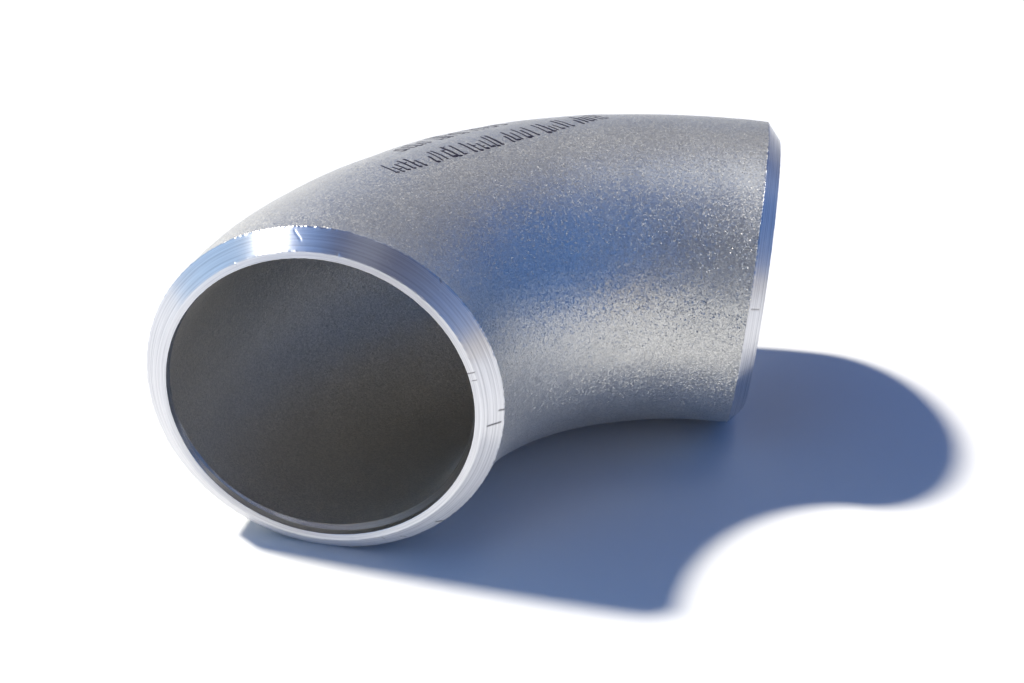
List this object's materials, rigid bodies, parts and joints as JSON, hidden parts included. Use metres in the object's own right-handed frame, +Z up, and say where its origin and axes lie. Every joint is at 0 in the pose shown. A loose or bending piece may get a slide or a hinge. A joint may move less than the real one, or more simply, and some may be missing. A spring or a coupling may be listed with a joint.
{
  "type": "pipe elbow",
  "caption": "Long-radius 90 degree butt-weld pipe elbow in stainless steel, with a blasted wall and a machined, bevelled weld end at each side.",
  "frame": {"origin": "centre of the front weld end's face", "axes": "-Y leaves the front weld end along its axis, +X is the direction in which the side weld end looks, and +Z is up and square to the plane of the bend"},
  "size_m": [0.0812, 0.0813, 0.0483],
  "materials": {
    "blasted_steel": "shot-blasted and pickled stainless steel, matt, fine grain",
    "machined_steel": "turned stainless steel, bright, fine concentric tool lines",
    "marking_ink": "dark printed ink, matt"
  },
  "bodies": {
    "root": {"formed_wall": "blasted_steel", "front_weld_end": "machined_steel", "side_weld_end": "machined_steel", "ink_marks": "marking_ink"}
  },
  "joints": []
}
